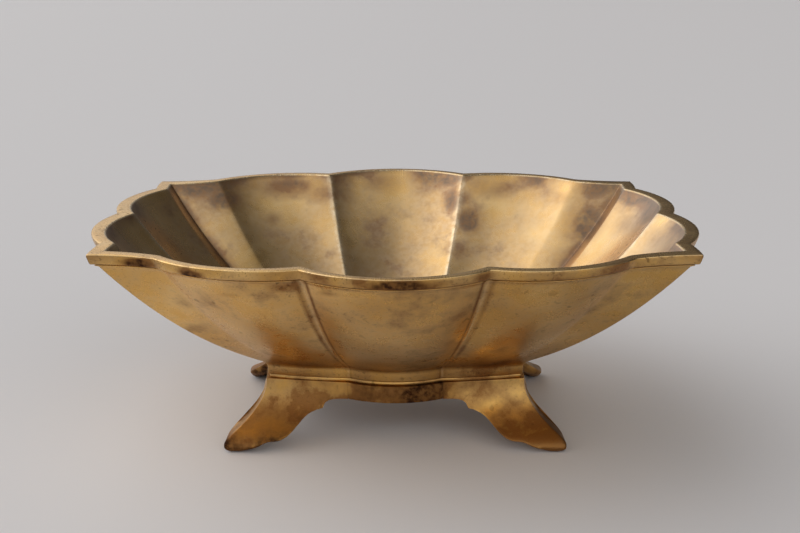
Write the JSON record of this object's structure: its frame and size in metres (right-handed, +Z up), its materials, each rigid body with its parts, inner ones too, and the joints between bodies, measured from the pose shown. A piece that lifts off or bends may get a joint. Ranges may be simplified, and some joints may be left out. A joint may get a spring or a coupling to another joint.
{
  "type": "footed lobed brass bowl",
  "caption": "Oblong lobed brass bowl with a flat rim band, raised on a low stand with splayed bracket feet. Holds fruit, flowers or small things.",
  "frame": {"origin": "on the surface the feet stand on, under the middle of the bowl", "axes": "+X along the bowl's length, +Y across it towards the back, +Z up"},
  "size_m": [0.1784, 0.1472, 0.0659],
  "materials": {
    "aged_brass": "aged, brown tarnish and small pits",
    "worn_brass": "file-marked, bright along the edge, dark stains below it",
    "stand_brass": "aged cast brass, darker towards the toes",
    "solder": "dull grey-brown hard solder"
  },
  "bodies": {
    "root": {"bowl_shell": "aged_brass", "lip_band": "worn_brass", "plinth_collar": "stand_brass", "neck_solder": "solder", "apron_front": "stand_brass", "apron_back": "stand_brass", "foot_front_left": "stand_brass", "foot_front_right": "stand_brass", "foot_back_left": "stand_brass", "foot_back_right": "stand_brass", "joint_solder_front_left": "solder", "joint_solder_front_right": "solder", "joint_solder_back_left": "solder", "joint_solder_back_right": "solder", "joint_solder_left_end": "solder", "joint_solder_right_end": "solder"}
  },
  "joints": []
}
